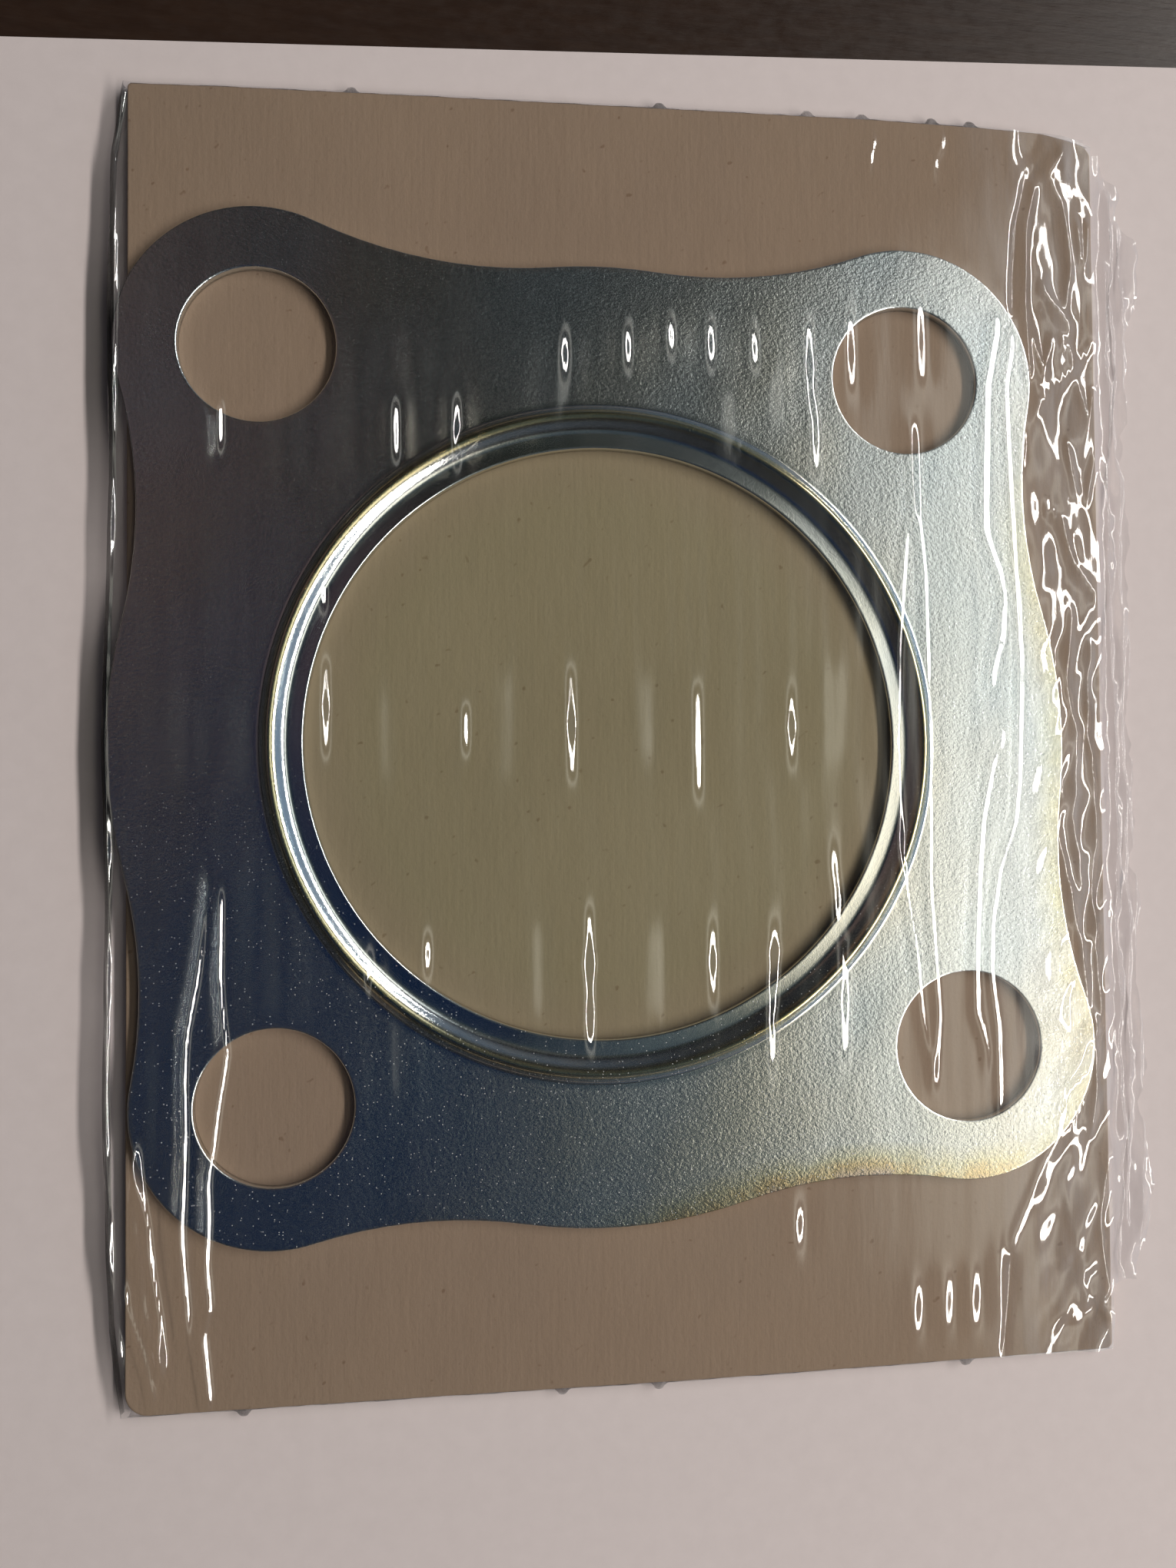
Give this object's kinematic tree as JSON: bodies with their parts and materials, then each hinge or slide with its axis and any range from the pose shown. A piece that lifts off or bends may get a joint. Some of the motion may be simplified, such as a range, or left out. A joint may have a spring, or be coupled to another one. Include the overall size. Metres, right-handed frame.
{
  "type": "packaged flange gasket",
  "caption": "Flat stamped steel flange gasket with a large embossed bore and corner bolt holes, shrink-wrapped in clear film on a chipboard backing card.",
  "frame": {"origin": "on the centre line of the gasket's main bore, in the plane that the pack lies on", "axes": "+X to the welded side seal, +Y to the top of the card, +Z out of the pack's face along the bore"},
  "size_m": [0.1276, 0.1559, 0.0044],
  "materials": {
    "zinc_plated_steel": "bright zinc plate with a fine orange-peel grain",
    "chipboard": "uncoated grey-brown recycled board with a vertical fibre grain",
    "clear_film": "clear glossy shrink film"
  },
  "bodies": {
    "card_and_back": {"backing_card": "chipboard", "film_back": "clear_film", "side_seal": "clear_film", "top_seal": "clear_film", "bottom_seal": "clear_film"},
    "gasket": {"gasket_plate": "zinc_plated_steel"},
    "front_film": {"film_front": "clear_film", "left_fold": "clear_film"}
  },
  "joints": [
    {"name": "gasket_lift", "type": "slide", "parent": "card_and_back", "child": "gasket", "axis": [0, 0, 1], "range_m": [0, 0.045]},
    {"name": "film_lift", "type": "slide", "parent": "card_and_back", "child": "front_film", "axis": [0, 0, 1], "range_m": [0, 0.09]}
  ],
  "couplings": [
    {"joint": "film_lift", "follows": "gasket_lift", "ratio": 2}
  ]
}
